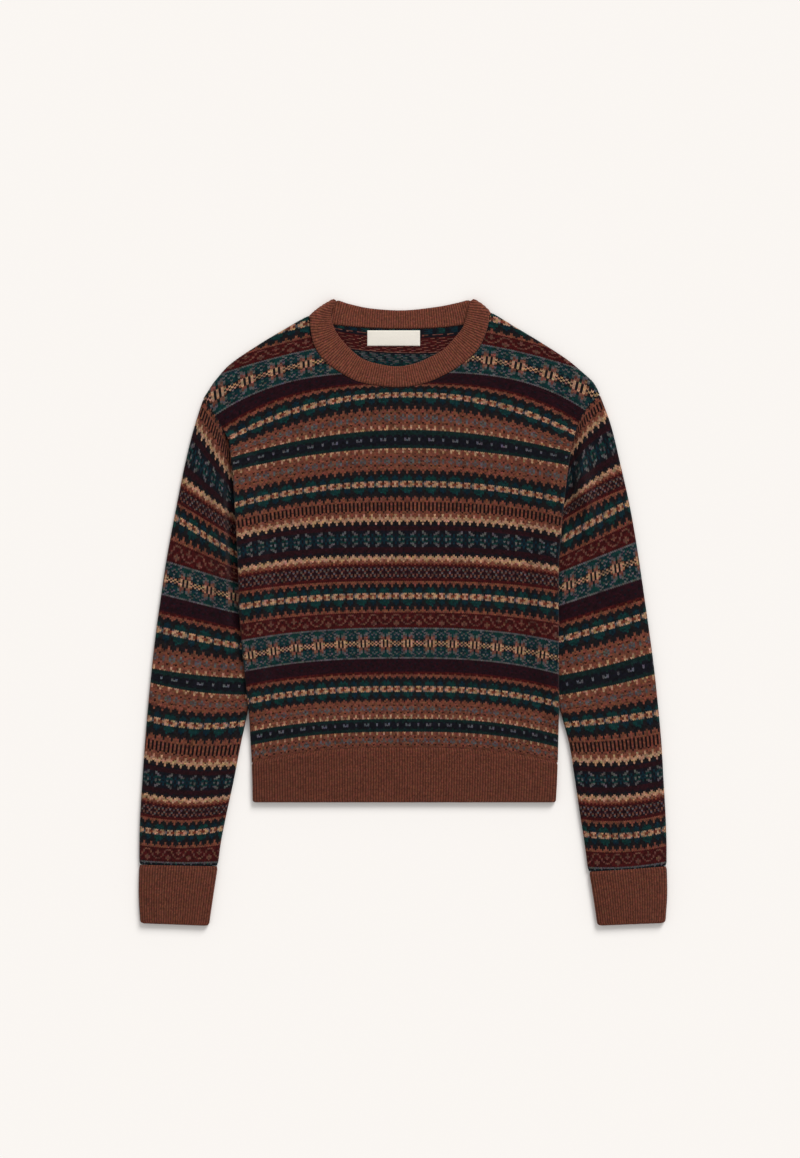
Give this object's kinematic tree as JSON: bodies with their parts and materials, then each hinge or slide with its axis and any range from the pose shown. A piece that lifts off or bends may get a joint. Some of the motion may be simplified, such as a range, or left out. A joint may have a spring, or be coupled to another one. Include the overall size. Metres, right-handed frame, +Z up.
{
  "type": "fair isle jumper",
  "caption": "Fine-gauge crew-neck jumper with banded fair isle knit and plain ribs, laid flat with its sleeves down beside the body.",
  "frame": {"origin": "on the supporting surface, under the middle of the jumper's outline", "axes": "+Z up out of the surface, +Y from the hem towards the neck, +X to the right as seen from above"},
  "size_m": [0.5818, 0.6882, 0.0116],
  "materials": {
    "patterned_knit": "soft brushed wool, stranded pattern of navy, teal, maroon, brown, sand and grey",
    "brown_rib": "soft brushed wool, brown heather, one-by-one rib",
    "woven_label": "smooth woven cream tape"
  },
  "bodies": {
    "root": {"front": "patterned_knit", "back": "patterned_knit", "sleeve_left": "patterned_knit", "sleeve_right": "patterned_knit", "hem_rib_front": "brown_rib", "hem_rib_back": "brown_rib", "cuff_left": "brown_rib", "cuff_right": "brown_rib", "neckband": "brown_rib", "neck_label": "woven_label"}
  },
  "joints": []
}
